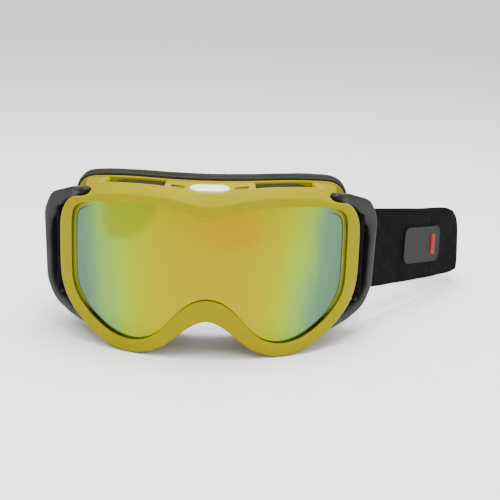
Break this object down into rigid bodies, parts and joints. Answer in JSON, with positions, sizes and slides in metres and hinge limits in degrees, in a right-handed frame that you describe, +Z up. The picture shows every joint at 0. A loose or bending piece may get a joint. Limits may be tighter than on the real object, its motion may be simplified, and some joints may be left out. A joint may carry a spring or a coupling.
{
  "type": "motorcycle goggles",
  "caption": "Off-road goggles with a wrap-round frame, mirrored dual lens, layered face foam, swinging strap outriggers and a wide elastic strap.",
  "frame": {"origin": "middle of the object's bounding box on the surface that it stands on", "axes": "+X to the right seen from the front, +Y from the lens back to the head, +Z up"},
  "size_m": [0.2654, 0.1764, 0.0957],
  "materials": {
    "frame_yellow": "satin moulded elastomer",
    "lens_mirror": "yellow-green multilayer mirror",
    "lens_clear": "clear",
    "foam_dark": "open-cell foam",
    "fleece": "brushed fleece",
    "badge_pale": "gloss",
    "outrigger_grey": "satin",
    "pin_steel": "plain",
    "adjuster_black": "satin",
    "grip_silicone": "gloss",
    "patch_grey": "printed patch",
    "tab_red": "satin",
    "thread": "waxed thread",
    "strap_webbing": "woven elastic"
  },
  "bodies": {
    "root": {"face_fleece": "fleece", "face_foam_base": "foam_dark", "face_foam_soft": "foam_dark", "frame_body_left": "frame_yellow", "frame_body_right": "frame_yellow", "frame_rim_left": "frame_yellow", "frame_rim_right": "frame_yellow", "grip_strips_left": "grip_silicone", "grip_strips_right": "grip_silicone", "hinge_pin_lower_left": "pin_steel", "hinge_pin_lower_right": "pin_steel", "hinge_pin_upper_left": "pin_steel", "hinge_pin_upper_right": "pin_steel", "inner_lens": "lens_clear", "lens_spacer": "foam_dark", "outer_lens": "lens_mirror", "patch_tab": "tab_red", "rear_flange": "frame_yellow", "strap_patch": "patch_grey", "strap_rear": "strap_webbing", "strap_side_left": "strap_webbing", "strap_side_right": "strap_webbing", "strap_tail_left": "strap_webbing", "strap_tail_right": "strap_webbing", "top_badge": "badge_pale", "vent_foam_bottom_left": "foam_dark", "vent_foam_bottom_right": "foam_dark", "vent_foam_side_left": "foam_dark", "vent_foam_side_right": "foam_dark", "vent_foam_top_left": "foam_dark", "vent_foam_top_right": "foam_dark"},
    "outrigger_left": {"outrigger_left": "outrigger_grey", "strap_loop_left": "strap_webbing", "stitching_left": "thread"},
    "outrigger_right": {"outrigger_right": "outrigger_grey", "strap_loop_right": "strap_webbing", "stitching_right": "thread"},
    "adjuster_left": {"adjuster_left": "adjuster_black"},
    "adjuster_right": {"adjuster_right": "adjuster_black"}
  },
  "joints": [
    {"name": "outrigger_left_swing", "type": "hinge", "parent": "root", "child": "outrigger_left", "pos_m": [-0.10622, -0.05315, 0.05], "axis": [0, 0, 1], "range_deg": [-4, 12], "deforming": ["strap_side_left"]},
    {"name": "outrigger_right_swing", "type": "hinge", "parent": "root", "child": "outrigger_right", "pos_m": [0.03378, -0.05315, 0.05], "axis": [0, 0, -1], "range_deg": [-4, 12], "deforming": ["strap_side_right"]},
    {"name": "adjuster_left_slide", "type": "slide", "parent": "root", "child": "adjuster_left", "axis": [-0.9908, -0.1352, 0], "range_m": [-0.014, 0.014]},
    {"name": "adjuster_right_slide", "type": "slide", "parent": "root", "child": "adjuster_right", "axis": [-0.9908, -0.1352, 0], "range_m": [-0.014, 0.014]}
  ]
}
